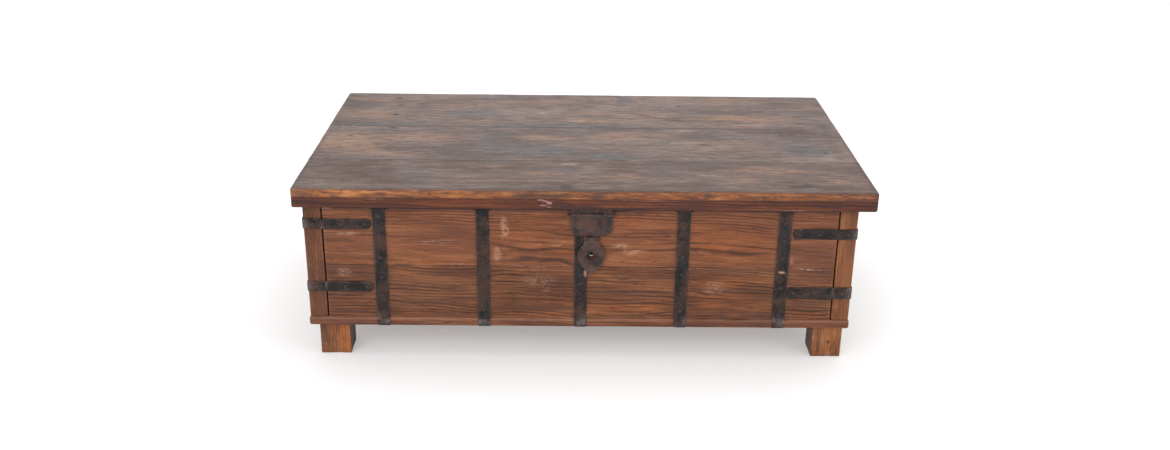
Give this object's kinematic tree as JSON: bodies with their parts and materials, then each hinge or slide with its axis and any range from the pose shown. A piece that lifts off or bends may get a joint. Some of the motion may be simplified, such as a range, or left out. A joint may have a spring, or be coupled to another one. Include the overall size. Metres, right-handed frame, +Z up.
{
  "type": "wooden chest",
  "caption": "Low plank chest with overhanging hinged lid, block feet, base moulding, flat iron straps with domed nails, and a rounded swinging hasp in front.",
  "frame": {"origin": "centre of the lid's outline, brought down to the floor under the feet", "axes": "+X along the chest's length to the viewer's right of the front, +Y to the back, -Y is the hasp side, +Z up"},
  "size_m": [1.35, 0.797, 0.4426],
  "materials": {
    "lid_top_wood": "worn satin",
    "lid_edge_wood": "worn satin",
    "wall_wood": "waxed, open grain",
    "post_wood": "waxed, open grain",
    "moulding_wood": "worn satin",
    "foot_wood": "waxed, open grain",
    "inside_wood": "dry and unfinished",
    "strap_iron": "dark wrought iron, lightly rusted",
    "nail_iron": "dark wrought iron, rubbed heads",
    "hinge_iron": "dark wrought iron",
    "hasp_iron": "brown rusted wrought iron",
    "staple_steel": "rubbed bright"
  },
  "bodies": {
    "chest_body": {"back_lower_plank": "wall_wood", "back_straps": "strap_iron", "back_upper_plank": "wall_wood", "base_moulding_back": "moulding_wood", "base_moulding_front": "moulding_wood", "base_moulding_left": "moulding_wood", "base_moulding_right": "moulding_wood", "corner_post_back_left": "post_wood", "corner_post_back_right": "post_wood", "corner_post_front_left": "post_wood", "corner_post_front_right": "post_wood", "corner_strap_back_left_lower": "strap_iron", "corner_strap_back_left_upper": "strap_iron", "corner_strap_back_right_lower": "strap_iron", "corner_strap_back_right_upper": "strap_iron", "corner_strap_front_left_lower": "strap_iron", "corner_strap_front_left_upper": "strap_iron", "corner_strap_front_right_lower": "strap_iron", "corner_strap_front_right_upper": "strap_iron", "corner_strap_nails": "nail_iron", "floor_battens": "inside_wood", "floor_board_1": "inside_wood", "floor_board_2": "inside_wood", "floor_board_3": "inside_wood", "foot_back_left": "foot_wood", "foot_back_right": "foot_wood", "foot_front_left": "foot_wood", "foot_front_right": "foot_wood", "front_lower_plank": "wall_wood", "front_strap_1": "strap_iron", "front_strap_2": "strap_iron", "front_strap_3": "strap_iron", "front_strap_4": "strap_iron", "front_strap_5": "strap_iron", "front_upper_plank": "wall_wood", "hasp_staple": "staple_steel", "hinge_body_leaves": "hinge_iron", "hinge_pins": "hinge_iron", "left_lower_plank": "wall_wood", "left_upper_plank": "wall_wood", "right_lower_plank": "wall_wood", "right_upper_plank": "wall_wood", "strap_and_hinge_nails": "nail_iron"},
    "lid": {"lid_batten_left": "inside_wood", "lid_batten_right": "inside_wood", "lid_board_back": "lid_top_wood", "lid_board_front": "lid_top_wood", "lid_board_middle": "lid_top_wood", "lid_nails": "nail_iron", "lid_rail_back": "lid_edge_wood", "lid_rail_front": "lid_edge_wood", "lid_rail_left": "lid_edge_wood", "lid_rail_right": "lid_edge_wood", "hinge_lid_leaves": "hinge_iron", "hasp_lid_leaf": "hasp_iron", "hasp_pin": "hasp_iron"},
    "hasp_plate": {"hasp_plate": "hasp_iron", "hasp_tongue_pin": "hasp_iron"},
    "hasp_tongue": {"hasp_tongue": "hasp_iron"}
  },
  "joints": [
    {"name": "lid_hinge", "type": "hinge", "parent": "chest_body", "child": "lid", "pos_m": [0, 0.392, 0.3905], "axis": [-1, 0, 0], "range_deg": [0, 100]},
    {"name": "hasp_swing", "type": "hinge", "parent": "lid", "child": "hasp_plate", "pos_m": [0.0156, -0.3792, 0.378], "axis": [-1, 0, 0], "range_deg": [0, 80]},
    {"name": "tongue_swing", "type": "hinge", "parent": "hasp_plate", "child": "hasp_tongue", "pos_m": [0.0156, -0.3792, 0.318], "axis": [-1, 0, 0], "range_deg": [0, 95]}
  ]
}
